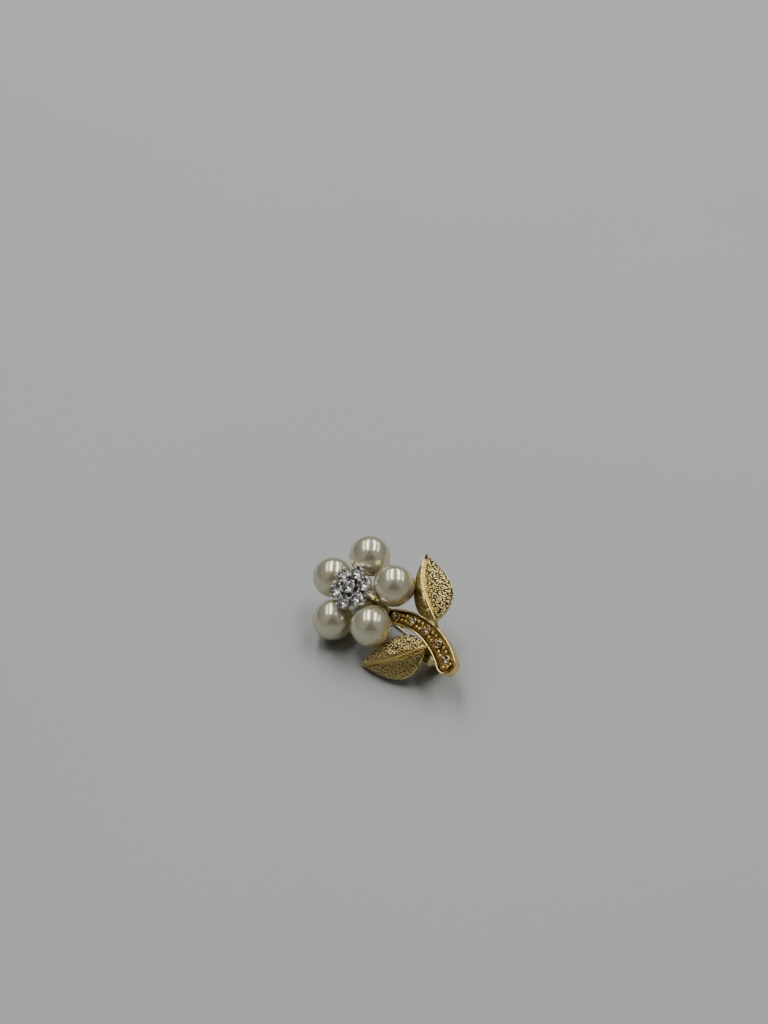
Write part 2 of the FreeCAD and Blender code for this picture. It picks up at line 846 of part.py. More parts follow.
def catch_lock():
    """A slotted sleeve in the housing, with a flange outside it that carries the thumb tab."""
    start = -size("catch_reach") - size("catch_width") / 2
    sleeve_start = start - size("lock_flange_gap")
    sleeve = along("sizes.lock_radius", "sizes.catch_width + sizes.lock_flange_gap", sleeve_start)
    flange_start = start - size("lock_flange_gap") - size("lock_flange_width")
    flange = along("sizes.lock_flange_radius", "sizes.lock_flange_width", flange_start)
    tab = solid("Box", Length="sizes.lock_flange_width", Width="sizes.tab_reach")
    tab.setExpression("Height", "sizes.tab_width")
    tab.Placement = at(flange_start, 0, size("pin_level") - size("tab_width") / 2)
    long_bore = along(
        "sizes.lock_bore_radius",
        "sizes.catch_width + sizes.lock_flange_gap + sizes.lock_flange_width + 0.2",
        flange_start - 0.1,
    )
    slot = mouth(
        flange_start - 0.1,
        "sizes.catch_width + sizes.lock_flange_gap + sizes.lock_flange_width + 0.2",
    )
    body = cut(fuse([sleeve, flange, tab]), fuse([long_bore, slot]))
    return sub_part(body, "catch_lock", pin_frame())


def fastening():
    hinge_base()
    hinge_rivet()
    pin_stem()
    catch_housing()
    catch_lock()


# ---------------------------------------------------------------- rest on the table, checks, files


def rest_rotation():
    """Leans the brooch about a line of its own plane, then turns it on the table."""
    lean = Rotation(heading(size("lean_heading")), size("lean_angle"))
    return Rotation(UP, size("table_turn")) * lean


def rest_on_table():
    """Places every piece so that the lowest point is at zero and the box is centred on the origin."""
    rotation = rest_rotation()
    box = FreeCAD.BoundBox()
    for obj, place in SUB_PARTS:
        shape = obj.Shape.copy()
        shape.Placement = Placement(Vector(), rotation) * place
        box.add(shape.optimalBoundingBox(False, False))
    base = Vector(-box.Center.x, -box.Center.y, -box.ZMin)
    for obj, place in SUB_PARTS:
        obj.Placement = Placement(base, rotation) * place
    return Placement(base, rotation)


def check(objects):
    for obj in objects:
        if "Invalid" in obj.State or "Error" in obj.State:
            raise RuntimeError(f"{obj.Label} did not build: {obj.State}")
    for obj, _ in SUB_PARTS:
        shape = obj.Shape
        if shape.isNull() or not shape.isValid() or len(shape.Solids) != 1:
            raise RuntimeError(f"{obj.Label} is not one sound solid: {len(shape.Solids)}")


flower()
flower_base()
cluster()
stem()
stem_stones()
leaves()
fastening()
doc.recompute()
check(doc.Objects)
REST = rest_on_table()
doc.recompute()
check(doc.Objects)

os.makedirs("parts", exist_ok=True)
for obj, _ in SUB_PARTS:
    obj.Shape.exportStep(f"parts/{obj.Label}.step")
print(len(SUB_PARTS), "pieces; rest placement", REST)
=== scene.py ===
"""A flower brooch lying on a table: its pearls, stones, castings and fastening, round the CAD frame."""

import math

import bmesh
import bpy
import numpy as np
from mathutils import Matrix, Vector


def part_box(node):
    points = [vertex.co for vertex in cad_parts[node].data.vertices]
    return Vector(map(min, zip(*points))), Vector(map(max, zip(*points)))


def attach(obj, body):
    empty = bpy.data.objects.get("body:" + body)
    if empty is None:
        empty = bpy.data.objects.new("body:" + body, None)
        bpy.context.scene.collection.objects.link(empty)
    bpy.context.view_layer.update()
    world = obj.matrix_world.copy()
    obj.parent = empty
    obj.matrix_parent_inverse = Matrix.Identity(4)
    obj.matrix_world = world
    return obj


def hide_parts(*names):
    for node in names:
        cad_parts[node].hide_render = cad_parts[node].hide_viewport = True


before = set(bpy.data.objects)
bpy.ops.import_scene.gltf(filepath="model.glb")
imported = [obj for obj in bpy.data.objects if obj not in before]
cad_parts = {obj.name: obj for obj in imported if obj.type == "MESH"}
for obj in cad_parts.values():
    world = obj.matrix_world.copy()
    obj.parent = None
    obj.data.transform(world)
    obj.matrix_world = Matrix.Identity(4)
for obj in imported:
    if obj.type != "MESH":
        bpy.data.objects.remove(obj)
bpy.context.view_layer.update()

# ---------------------------------------------------------------------------------------------
# The pearls: five glass beads, dipped in pearl essence until they are cream and glossy.
# Each is drilled from behind and glued on the peg of its cup. They also give the brooch's own
# axes, because their centres lie on one ring: right and up along the flower's face, out of it.

PEARL_COUNT = 5
FIRST_PEARL_ANGLE = math.radians(68.2)
PEARL_RADIUS = 4.0  # mm
BORE_RADIUS, BORE_END, BORE_LIP = 0.45, 0.55, 0.05
MM = 0.001
MERGE_DISTANCE = 2e-6  # m, between points of neighbouring patches that are one point


def middle_of(node):
    """Middle of a CAD node's box."""
    low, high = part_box(node)
    return np.array((low + high) / 2)


def brooch_axes():
    """Middle, right, up and out of the flower: pearl centres weighted by cosine and sine."""
    centres = np.array([middle_of(f"pearl_{k + 1}") for k in range(PEARL_COUNT)])
    middle = centres.mean(axis=0)
    angles = FIRST_PEARL_ANGLE + 2 * np.pi / PEARL_COUNT * np.arange(PEARL_COUNT)
    right = (np.cos(angles)[:, None] * (centres - middle)).sum(axis=0)
    up = (np.sin(angles)[:, None] * (centres - middle)).sum(axis=0)
    right /= np.linalg.norm(right)
    out = np.cross(right, up)
    out /= np.linalg.norm(out)
    return middle, right, np.cross(out, right), out


FLOWER, RIGHT, UP, OUT = brooch_axes()
AXES = np.stack([RIGHT, UP, OUT])


def to_table(points):
    """Brooch millimetres (right, up, out) to metres as the brooch lies on the table."""
    return FLOWER + MM * np.asarray(points, float) @ AXES


def grid_faces(rows, cols, wrap_rows, wrap_cols):
    """Quads between neighbouring rows and columns of a grid of points, wrapped where asked."""
    r = np.arange(rows if wrap_rows else rows - 1)[:, None]
    c = np.arange(cols if wrap_cols else cols - 1)[None, :]
    r_next, c_next = (r + 1) % rows, (c + 1) % cols
    corners = [r * cols + c, r * cols + c_next, r_next * cols + c_next, r_next * cols + c]
    return np.stack(np.broadcast_arrays(*corners), axis=-1).reshape(-1, 4)


def surface(points, wrap_rows=False, wrap_cols=False, finish=0, height=None):
    """One patch of a piece: its grid of brooch points, its faces, its finish and its relief."""
    rows, cols = points.shape[:2]
    return {
        "points": points.reshape(-1, 3),
        "faces": grid_faces(rows, cols, wrap_rows, wrap_cols).tolist(),
        "finish": finish,
        "height": np.zeros(rows * cols) if height is None else height.reshape(-1),
    }


def turned(profile, sides=48):
    """A profile of (radius, height) turned about the out axis: radius cos t, radius sin t, height."""
    profile = np.asarray(profile, float)
    t = np.linspace(0, 2 * np.pi, sides, endpoint=False)
    ring = np.stack([np.cos(t), np.sin(t)], axis=-1)
    flat = profile[:, None, :1] * ring
    heights = np.broadcast_to(profile[:, None, 1:], (len(profile), sides, 1))
    return np.concatenate([flat, heights], axis=-1)


def make_piece(name, patches, materials, replaces=(), sharp=35.0):
    """Joins patches into one closed mesh: points in metres, doubles merged, faces outwards, smooth."""
    faces, finishes, start = [], [], 0
    for patch in patches:
        faces += [[corner + start for corner in face] for face in patch["faces"]]
        finishes += [patch["finish"]] * len(patch["faces"])
        start += len(patch["points"])
    mesh = bpy.data.meshes.new(name)
    points = to_table(np.concatenate([patch["points"] for patch in patches]))
    mesh.from_pydata(points.tolist(), [], faces)
    mesh.polygons.foreach_set("material_index", finishes)
    # the relief is the mask by which the chased gold paints shade into the leaf hollows
    relief = mesh.attributes.new("relief", "FLOAT", "POINT")
    relief.data.foreach_set("value", np.concatenate([patch["height"] for patch in patches]))
    work = bmesh.new()
    work.from_mesh(mesh)
    bmesh.ops.remove_doubles(work, verts=work.verts, dist=MERGE_DISTANCE)
    bmesh.ops.recalc_face_normals(work, faces=work.faces)
    work.to_mesh(mesh)
    work.free()
    mesh.polygons.foreach_set("use_smooth", [sharp > 0] * len(mesh.polygons))
    if sharp > 0:
        mesh.set_sharp_from_angle(angle=math.radians(sharp))
    for material in materials:
        mesh.materials.append(material)
    piece = bpy.data.objects.new(name, mesh)
    bpy.context.scene.collection.objects.link(piece)
    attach(piece, "root")
    if replaces:
        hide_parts(*replaces)
    return piece


def finish_of(name, **sockets):
    """A Principled material with constants on its sockets, whose names take underscores for spaces."""
    material = bpy.data.materials.new(name)
    material.use_nodes = True
    shader = material.node_tree.nodes["Principled BSDF"]
    for socket, value in sockets.items():
        shader.inputs[socket.replace("_", " ")].default_value = value
    return material


def add_node(material, kind, **inputs):
    """A new node with its inputs filled: a (node, output name) is linked, anything else is a value."""
    tree = material.node_tree
    node = tree.nodes.new(kind)
    for socket, value in inputs.items():
        target = node.inputs[socket.replace("_", " ")]
        if isinstance(value, tuple) and hasattr(value[0], "outputs"):
            tree.links.new(value[0].outputs[value[1]], target)
        else:
            target.default_value = value
    return node


def object_noise(material, per_mm, detail=3.0, roughness=0.55, distortion=0.0):
    """Noise fixed to the piece, with this many features a millimetre."""
    place = add_node(material, "ShaderNodeTexCoord")
    return add_node(
        material,
        "ShaderNodeTexNoise",
        Vector=(place, "Object"),
        Scale=per_mm / MM,
        Detail=detail,
        Roughness=roughness,
        Distortion=distortion,
    )


def vary(material, source, low, high, target, from_low=0.3, from_high=0.7):
    """Maps a source, between two of its values, on a shader's number such as its roughness."""
    step = add_node(
        material,
        "ShaderNodeMapRange",
        Value=source,
        From_Min=from_low,
        From_Max=from_high,
        To_Min=low,
        To_Max=high,
    )
    shader = material.node_tree.nodes["Principled BSDF"]
    material.node_tree.links.new(step.outputs["Result"], shader.inputs[target])


def fill_ramp(ramp, stops):
    """Gives a colour ramp its stops of (place, colour), in rising order."""
    elements = ramp.color_ramp.elements
    while len(elements) < len(stops):
        elements.new(0.5)
    for element, (place, colour) in zip(elements, stops):
        element.position = place
        element.color = (*colour, 1.0)


def blend_colours(material, source, stops):
    """A colour ramp from a source of 0 to 1 on the base colour."""
    ramp = add_node(material, "ShaderNodeValToRGB", Fac=source)
    fill_ramp(ramp, stops)
    shader = material.node_tree.nodes["Principled BSDF"]
    material.node_tree.links.new(ramp.outputs["Color"], shader.inputs["Base Color"])


def roughen(material, source, depth_mm):
    """Fine relief from a source of 0 to 1, this many millimetres deep."""
    bump = add_node(
        material, "ShaderNodeBump", Height=source, Distance=depth_mm * MM, Strength=1.0
    )
    shader = material.node_tree.nodes["Principled BSDF"]
    material.node_tree.links.new(bump.outputs["Normal"], shader.inputs["Normal"])


def nacre():
    """Cream pearl essence: half mirror, half body colour, a clear glossy top and soft cloudy bands."""
    material = finish_of(
        "nacre",
        Metallic=0.60,
        Coat_Weight=1.0,
        Coat_Roughness=0.09,
        Specular_Tint=(0.55, 0.50, 0.38, 1.0),
        Coat_IOR=1.55,
    )
    clouds = object_noise(material, 0.35, detail=2.0, distortion=0.6)
    blend_colours(
        material,
        (clouds, "Fac"),
        [(0.3, (0.64, 0.59, 0.40)), (0.5, (0.71, 0.66, 0.47)), (0.7, (0.69, 0.66, 0.50))],
    )
    grain = object_noise(material, 2.2, detail=2.0)
    vary(material, (grain, "Fac"), 0.18, 0.25, "Roughness")
    roughen(material, (grain, "Fac"), 0.001)
    return material


def pearl_profile():
    """From the pole round the ball to the drilled hole behind, up the hole's wall to its end."""
    hole = math.asin(BORE_RADIUS / PEARL_RADIUS)
    turn = np.linspace(0, np.pi - hole, 56)
    ball = np.stack([PEARL_RADIUS * np.sin(turn), PEARL_RADIUS * np.cos(turn)], axis=-1)
    wall = [(BORE_RADIUS, ball[-1, 1] + BORE_LIP), (BORE_RADIUS, BORE_END - BORE_LIP)]
    return np.concatenate([ball, wall, [(0.0, BORE_END)]])


NACRE = nacre()
PEARL_PLACES = []  # in brooch millimetres
for number in range(1, PEARL_COUNT + 1):
    centre = AXES @ (middle_of(f"pearl_{number}") - FLOWER) / MM
    PEARL_PLACES.append(centre)
    ball = turned(pearl_profile(), 72) + centre
    make_piece(
        f"pearl_bead_{number}",
        [surface(ball, wrap_cols=True)],
        [NACRE],
        replaces=[f"pearl_{number}"],
    )

# ---------------------------------------------------------------------------------------------
# The peg cups: a shallow gold-plated cup under each pearl, spun from sheet, with a plain rim
# and the peg that the pearl is glued on. They are soldered on the base.

CUP_INNER = PEARL_RADIUS + 0.03
CUP_WALL = 0.42
CUP_RIM = 2.25
PEG_RADIUS, PEG_TOP, PEG_CHAMFER = 0.38, -1.2, 0.12


def bright_gold(name, light, deep, smooth, rough, scratch=0.004):
    """Gold plate: two golds in slow clouds, and fine rubbed scratches that dull it in places."""
    material = finish_of(name, Metallic=1.0)
    clouds = object_noise(material, 0.8, detail=4.0)
    blend_colours(material, (clouds, "Fac"), [(0.3, deep), (0.7, light)])
    rubbed = object_noise(material, 5.0, detail=6.0, roughness=0.7, distortion=1.5)
    vary(material, (rubbed, "Fac"), smooth, rough, "Roughness")
    roughen(material, (rubbed, "Fac"), scratch)
    return material


POLISHED_GOLD = bright_gold("polished_gold", (0.80, 0.63, 0.27), (0.68, 0.52, 0.20), 0.10, 0.22)


def cup_profile():
    """The peg, the cup's inside out to its rim, over the rim, and the outside back to the axis."""
    reach = math.asin(CUP_RIM / CUP_INNER)
    root = math.asin(PEG_RADIUS / CUP_INNER)
    inner = np.linspace(root, reach, 14)
    outer = np.linspace(reach, 0, 16)
    shoulder = (0.7 * PEG_RADIUS, PEG_TOP)
    peg = [(0.0, PEG_TOP), shoulder, (PEG_RADIUS, PEG_TOP - PEG_CHAMFER)]
    inside = np.stack([CUP_INNER * np.sin(inner), -CUP_INNER * np.cos(inner)], axis=-1)
    radius = CUP_INNER + CUP_WALL
    middle = CUP_INNER + CUP_WALL / 2
    lip_angle = reach + CUP_WALL / 2 / CUP_INNER
    lip = [(middle * math.sin(lip_angle), -middle * math.cos(lip_angle))]
    outside = np.stack([radius * np.sin(outer), -radius * np.cos(outer)], axis=-1)
    return np.concatenate([peg, inside, lip, outside])


for number, centre in enumerate(PEARL_PLACES, start=1):
    make_piece(
        f"peg_cup_{number}",
        [surface(turned(cup_profile(), 40) + centre, wrap_cols=True)],
        [POLISHED_GOLD],
        replaces=[f"pearl_cup_{number}"],
        sharp=50.0,
    )

# ---------------------------------------------------------------------------------------------
# The flower's base: a cast and polished plate with a hub, five arms that carry the cups, small
# wire eyelets between them and a tail that runs under the stem. The post rivets the cluster on.


FLAT_WITHIN, EDGE_OVER = 2.0, 35.0  # degrees between faces that are one, and that meet at an edge


def softened(name, node, edge_mm, material, body="root"):
    """A copy of a CAD node: its triangles merged into whole faces, its edges rounded by a bevel."""
    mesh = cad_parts[node].data.copy()
    mesh.name = name
    work = bmesh.new()
    work.from_mesh(mesh)
    bmesh.ops.remove_doubles(work, verts=work.verts, dist=1e-6)
    bmesh.ops.dissolve_limit(
        work, angle_limit=math.radians(FLAT_WITHIN), verts=work.verts, edges=work.edges
    )
    work.to_mesh(mesh)
    work.free()
    mesh.polygons.foreach_set("use_smooth", [True] * len(mesh.polygons))
    mesh.materials.clear()
    mesh.materials.append(material)
    piece = bpy.data.objects.new(name, mesh)
    bpy.context.scene.collection.objects.link(piece)
    bevel = piece.modifiers.new("rounded_edges", "BEVEL")
    bevel.width = edge_mm * MM
    bevel.segments = 2
    bevel.limit_method = "ANGLE"
    bevel.angle_limit = math.radians(EDGE_OVER)
    bevel.harden_normals = True
    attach(piece, body)
    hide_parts(node)
    return piece


CAST_GOLD = bright_gold("cast_gold", (0.84, 0.70, 0.40), (0.74, 0.59, 0.29), 0.14, 0.30, 0.008)
softened("flower_plate", "flower_base", 0.14, CAST_GOLD)
softened("cluster_rivet", "cluster_post", 0.10, CAST_GOLD)

# ---------------------------------------------------------------------------------------------
# The cluster setting: seven short tubes soldered round each other on a flared basket, with small
# round posts that hold the stones, all rhodium plated over brass.

CLUSTER_STONE_RADIUS = 1.10
RING_RADIUS, RING_LEVEL, CENTRE_LEVEL = 3.05, 3.95, 4.5
FIRST_STONE_ANGLE = 55.7
COLLET_INNER, COLLET_OUTER, COLLET_HEIGHT, COLLET_LIP = 1.13, 1.33, 1.15, 0.05
CLAW_RADIUS, CLAW_RISE, CLAW_LEAN = 0.25, 0.34, 0.16
BASKET_BORE, BASKET_FOOT, BASKET_RIM, BASKET_WALL = 0.78, 1.3, 3.5, 0.6
BASKET_LOW, BASKET_FLOOR, BASKET_TOP, BASKET_LIP = -3.35, -2.3, 2.85, 0.1


def heading(degrees, reach=1.0, level=0.0):
    """A point or an array of points in the brooch's plane, at an angle from its right."""
    turn = np.radians(degrees)
    return np.stack(np.broadcast_arrays(reach * np.cos(turn), reach * np.sin(turn), level), -1)


STONE_ANGLES = FIRST_STONE_ANGLE + 60 * np.arange(6)
CLUSTER_PLACES = np.vstack(
    [[(0.0, 0.0, CENTRE_LEVEL)], heading(STONE_ANGLES, RING_RADIUS, RING_LEVEL)]
)


def tube_ring(inner, outer, low, top, sides=36):
    """A short tube with a rounded lip: a closed loop of profile turned round."""
    lip = 0.35 * (outer - inner)
    loop = [
        (inner, low),
        (outer, low),
        (outer, top - lip),
        (outer - 0.4 * lip, top - 0.3 * lip),
        (outer - lip, top),
        (inner + 0.5 * lip, top),
        (inner, top - lip),
    ]
    return turned(loop, sides)


def claw(foot, towards, low, top):
    """A round post with a domed top, its upper part leaning a little over the stone."""
    turn = np.linspace(np.pi / 2, 0, 6)
    dome_middle = top - CLAW_RADIUS
    dome = np.stack([CLAW_RADIUS * np.sin(turn), dome_middle + CLAW_RADIUS * np.cos(turn)], -1)
    bent = 2.2 * CLAW_RADIUS
    shaft = np.array([(0.0, low), (CLAW_RADIUS, low), (CLAW_RADIUS, top - bent)])
    post = turned(np.concatenate([shaft, dome]), 14)
    share = np.clip((post[..., 2:] - (top - bent)) / bent, 0, 1)
    way = np.append(towards - foot, 0.0)
    return post + np.append(foot, 0.0) + CLAW_LEAN * share**2 * way / np.linalg.norm(way)


def setting_patches():
    """The basket, then each stone's tube and its four claws at the tube's corners."""
    basket = [
        (BASKET_BORE, BASKET_LOW),
        (BASKET_FOOT, BASKET_LOW),
        (BASKET_RIM, BASKET_TOP - BASKET_LIP),
        (BASKET_RIM - 0.8 * BASKET_LIP, BASKET_TOP),
        (BASKET_RIM - BASKET_WALL, BASKET_TOP),
        (BASKET_FOOT - 2.5 * BASKET_LIP, BASKET_FLOOR),
        (BASKET_BORE, BASKET_FLOOR),
    ]
    patches = [surface(turned(basket, 60), wrap_rows=True, wrap_cols=True)]
    for index, place in enumerate(CLUSTER_PLACES):
        top = place[2] + COLLET_LIP
        ring = tube_ring(COLLET_INNER, COLLET_OUTER, top - COLLET_HEIGHT, top)
        ring = ring + np.append(place[:2], 0.0)
        patches.append(surface(ring, wrap_rows=True, wrap_cols=True))
        first = STONE_ANGLES[index - 1] + 45 if index else FIRST_STONE_ANGLE - 30
        for corner in range(4):
            reach = CLUSTER_STONE_RADIUS + 0.03 + CLAW_RADIUS
            foot = place[:2] + heading(first + 90 * corner, reach)[:2]
            post = claw(foot, place[:2], top - COLLET_HEIGHT, top + CLAW_RISE)
            patches.append(surface(post, wrap_cols=True))
    return patches


def rhodium():
    """Bright white plate with a faint cool cloud and rubbed spots."""
    material = finish_of("rhodium_plate", Metallic=1.0)
    clouds = object_noise(material, 1.2, detail=4.0)
    stops = [(0.3, (0.58, 0.57, 0.55)), (0.7, (0.80, 0.785, 0.75))]
    blend_colours(material, (clouds, "Fac"), stops)
    rubbed = object_noise(material, 6.0, detail=5.0, distortion=1.0)
    vary(material, (rubbed, "Fac"), 0.07, 0.2, "Roughness")
    roughen(material, (rubbed, "Fac"), 0.005)
    return material


RHODIUM = rhodium()
make_piece(
    "cluster_crown",
    setting_patches(),
    [RHODIUM],
    replaces=["cluster_setting"],
    sharp=40.0,
)

# ---------------------------------------------------------------------------------------------
# The cluster's stones: seven round brilliants of clear lead glass, with a silvered foil baked on
# the pavilion, so that they throw the light back. Each sits in its tube under four claws.


TABLE_REACH, TABLE_LEVEL = 0.56, 0.34  # all in radii of the stone
STAR_REACH, STAR_LEVEL = 0.80, 0.214
GIRDLE_LEVEL = 0.03
MAIN_REACH, MAIN_LEVEL = 0.28, -0.645
CULET_LEVEL = -0.86


def brilliant(radius):
    """Table, stars, kites and halves over a girdle, mains and halves under it; ring by ring."""
    eighths = 45.0 * np.arange(8)
    sixteenths = 22.5 * np.arange(16)
    points = np.concatenate(
        [
            heading(eighths, TABLE_REACH, TABLE_LEVEL),
            heading(eighths + 22.5, STAR_REACH, STAR_LEVEL),
            heading(sixteenths, 1.0, GIRDLE_LEVEL),
            heading(sixteenths, 1.0, -GIRDLE_LEVEL),
            heading(eighths + 22.5, MAIN_REACH, MAIN_LEVEL),
            [(0.0, 0.0, CULET_LEVEL)],
        ]
    )
    k = np.arange(8)
    following = (k + 1) % 8
    table, star, girdle, belly, main, culet = k, 8 + k, 16 + 2 * k, 32 + 2 * k, 48 + k, 56 + 0 * k
    half, after = 17 + 2 * k, 16 + 2 * following
    crown = [list(range(8))]
    crown += np.stack([table, star, following], -1).tolist()
    crown += np.stack([table, 8 + (k - 1) % 8, girdle, star], -1).tolist()
    crown += np.stack([star, girdle, half], -1).tolist()
    crown += np.stack([star, half, after], -1).tolist()
    crown += np.stack([girdle, belly, half + 16, half], -1).tolist()
    crown += np.stack([half, half + 16, after + 16, after], -1).tolist()
    pavilion = np.stack([belly, 48 + (k - 1) % 8, culet, main], -1).tolist()
    pavilion += np.stack([main, belly, half + 16], -1).tolist()
    pavilion += np.stack([main, half + 16, after + 16], -1).tolist()
    return radius * points, crown, pavilion


def stone_patches(place, radius, turn):
    """One stone at its place, the crown in glass and the pavilion in foil."""
    points, crown, pavilion = brilliant(radius)
    cos, sin = math.cos(math.radians(turn)), math.sin(math.radians(turn))
    points = points @ np.array([[cos, sin, 0], [-sin, cos, 0], [0, 0, 1]]) + place
    flat = np.zeros(len(points))
    return [
        {"points": points, "faces": crown, "finish": 0, "height": flat},
        {"points": points, "faces": pavilion, "finish": 1, "height": flat},
    ]


def cut_glass():
    """Clear lead glass, polished, with faint wiping marks."""
    material = finish_of(
        "cut_glass", Transmission_Weight=1.0, IOR=1.58, Base_Color=(0.97, 0.98, 1.0, 1.0)
    )
    marks = object_noise(material, 3.0, detail=3.0)
    vary(material, (marks, "Fac"), 0.0, 0.04, "Roughness")
    return material


def stone_backing(name, dull, bright):
    """The mirror behind a stone, a little uneven and duller in patches."""
    material = finish_of(name, Metallic=1.0)
    patches = object_noise(material, 2.0, detail=2.0)
    blend_colours(material, (patches, "Fac"), [(0.3, dull), (0.6, bright)])
    vary(material, (patches, "Fac"), 0.02, 0.08, "Roughness")
    return material


CUT_GLASS = cut_glass()
SILVER_FOIL = stone_backing("silver_foil", (0.56, 0.55, 0.53), (0.86, 0.85, 0.82))
for index, place in enumerate(CLUSTER_PLACES):
    node = f"cluster_stone_{index}" if index else "cluster_stone_centre"
    make_piece(
        f"brilliant_{index}" if index else "brilliant_centre",
        stone_patches(place, CLUSTER_STONE_RADIUS, 17.0 * index),
        [CUT_GLASS, SILVER_FOIL],
        replaces=[node],
        sharp=0.0,
    )

# ---------------------------------------------------------------------------------------------
# The stem: a cast channel bent to an arc, wider towards its round end, with a bright rail all
# round, a stippled floor, a seat for each stone and gold grains raised between the seats.
# The channel's inner wall and floor carry painted shade: their gold is darkened to a deep brown.

BEND_RADIUS, BEND_MIDDLE = 14.82, np.array([0.63, -19.34])
STEM_END, STEM_SWEEP = 8.8, 65.5  # degrees round the bend
STEM_MEAN, STEM_FLARE = 0.86, 1.14
STEM_TOP, STEM_BOTTOM, FLOOR_LEVEL = -2.4, -4.4, -3.4
RAIL_WIDTH = 0.34
SEAT_STEP, FIRST_SEAT = 14.4, 11.9
STEM_STONE_RADIUS, STEM_STONE_LEVEL = 0.76, -2.74
GRAIN_RADIUS = 0.40
SEAT_INNER, SEAT_OUTER, SEAT_LIP = 0.79, 0.97, 0.06
TIP_GRAIN_REACH = 1.3
NEST_RADIUS = 4.06
LOWEST_NEST = STEM_BOTTOM - 0.3


def half_width(angle):
    """Half the stem's width at an angle on its bend: most at the round end."""
    return STEM_MEAN + STEM_FLARE * np.cos(np.radians(angle - STEM_END))


def stem_point(angle, side=0.0, level=0.0, beyond=0.0):
    """A point round the bend at an angle, so far outwards from its line and so far past it."""
    spot = heading(angle, BEND_RADIUS + side, level) + heading(angle + 90.0, beyond, 0.0)
    return spot + np.append(BEND_MIDDLE, 0.0)


def clear_of_pearls(points, *numbers):
    """Presses down whatever would stand in these pearls, to the level of a ball round each centre."""
    pressed = points.copy()
    for number in numbers:
        centre = PEARL_PLACES[number - 1]
        away = np.hypot(points[..., 0] - centre[0], points[..., 1] - centre[1])
        ball = centre[2] - np.sqrt(np.clip(NEST_RADIUS**2 - away**2, 0, None))
        inside = (away < NEST_RADIUS) & (pressed[..., 2] > ball)
        pressed[..., 2] = np.where(inside, np.maximum(ball, LOWEST_NEST), pressed[..., 2])
    return pressed


def stem_outline():
    """Round the stem: angle on the bend, share of half the width outwards, and past the end."""
    side = np.linspace(STEM_END + STEM_SWEEP, STEM_END, 110)
    round_end = np.linspace(0, np.pi, 40)[1:-1]
    flat_end = np.linspace(np.pi, 2 * np.pi, 16)[1:-1]
    angle = np.concatenate(
        [side, 0 * round_end + side[-1], side[::-1], 0 * flat_end + side[0]]
    )
    outwards = np.concatenate([1 + 0 * side, np.cos(round_end), -1 - 0 * side, np.cos(flat_end)])
    past = np.concatenate([0 * side, -np.sin(round_end), 0 * side, -0.25 * np.sin(flat_end)])
    return angle, outwards, past


def stem_surface():
    """The outline carried down a profile of insets and levels: wall, rail, inner wall and floor."""
    whole = 2 * (STEM_MEAN + STEM_FLARE)
    profile = [
        (whole, STEM_BOTTOM),
        (0.12, STEM_BOTTOM),
        (0.0, STEM_BOTTOM + 0.12),
        (0.0, STEM_TOP - 0.13),
        (0.03, STEM_TOP - 0.05),
        (0.09, STEM_TOP),
        (0.17, STEM_TOP + 0.01),
        (RAIL_WIDTH - 0.09, STEM_TOP),
        (RAIL_WIDTH - 0.02, STEM_TOP - 0.05),
        (RAIL_WIDTH, STEM_TOP - 0.14),
        (RAIL_WIDTH + 0.06, FLOOR_LEVEL + 0.15),
        (RAIL_WIDTH + 0.20, FLOOR_LEVEL),
        (whole, FLOOR_LEVEL),
    ]
    angle, outwards, past = stem_outline()
    rows = []
    for inset, level in profile:
        room = np.clip(half_width(angle) - inset, 0, None)
        rows.append(stem_point(angle, outwards * room, level, past * room))
    return clear_of_pearls(np.stack(rows), 4)


def round_grain(place):
    """A round grain, a ball whose foot is sunk in the floor."""
    turn = np.linspace(0, np.pi, 9)
    ball = turned(GRAIN_RADIUS * np.stack([np.sin(turn), np.cos(turn)], -1), 14)
    return surface(ball + place, wrap_cols=True)


SEAT_ANGLES = FIRST_SEAT + SEAT_STEP * np.arange(5)


def grain_places():
    """Four grains between each pair of seats, and three round the last seat at the round end."""
    level = FLOOR_LEVEL + 0.8 * GRAIN_RADIUS
    between = SEAT_ANGLES[:4, None]
    along = np.array([-0.12, -0.12, 0.12, 0.12]) * SEAT_STEP
    side = np.array([-1.0, 1.0, -0.9, 0.9])
    spread = 0.42 * (half_width(between + SEAT_STEP / 2) - RAIL_WIDTH) * side
    pairs = stem_point(between + SEAT_STEP / 2 + along, spread, level).reshape(-1, 3)
    tip = stem_point(SEAT_ANGLES[0], 0.0, level)
    ends = tip + heading(STEM_END + np.array([-125.0, -90.0, -55.0]), TIP_GRAIN_REACH)
    return np.concatenate([pairs, ends])


def painted_shade_channel_finish():
    """Cast gold for the channel with painted shade: darkened to a deep brown for the shade inside it, a
    little tarnished too, and stippled.
    """
    material = finish_of("channel_gold_painted_shade", Metallic=1.0)
    clouds = object_noise(material, 1.6, detail=5.0)
    # painted shade: deep brown stops in place of the shade inside the channel
    stops = [(0.35, (0.20, 0.12, 0.035)), (0.65, (0.42, 0.28, 0.09))]
    blend_colours(material, (clouds, "Fac"), stops)
    stipple = object_noise(material, 6.0, detail=3.0)
    vary(material, (stipple, "Fac"), 0.28, 0.5, "Roughness")
    roughen(material, (stipple, "Fac"), 0.05)
    return material


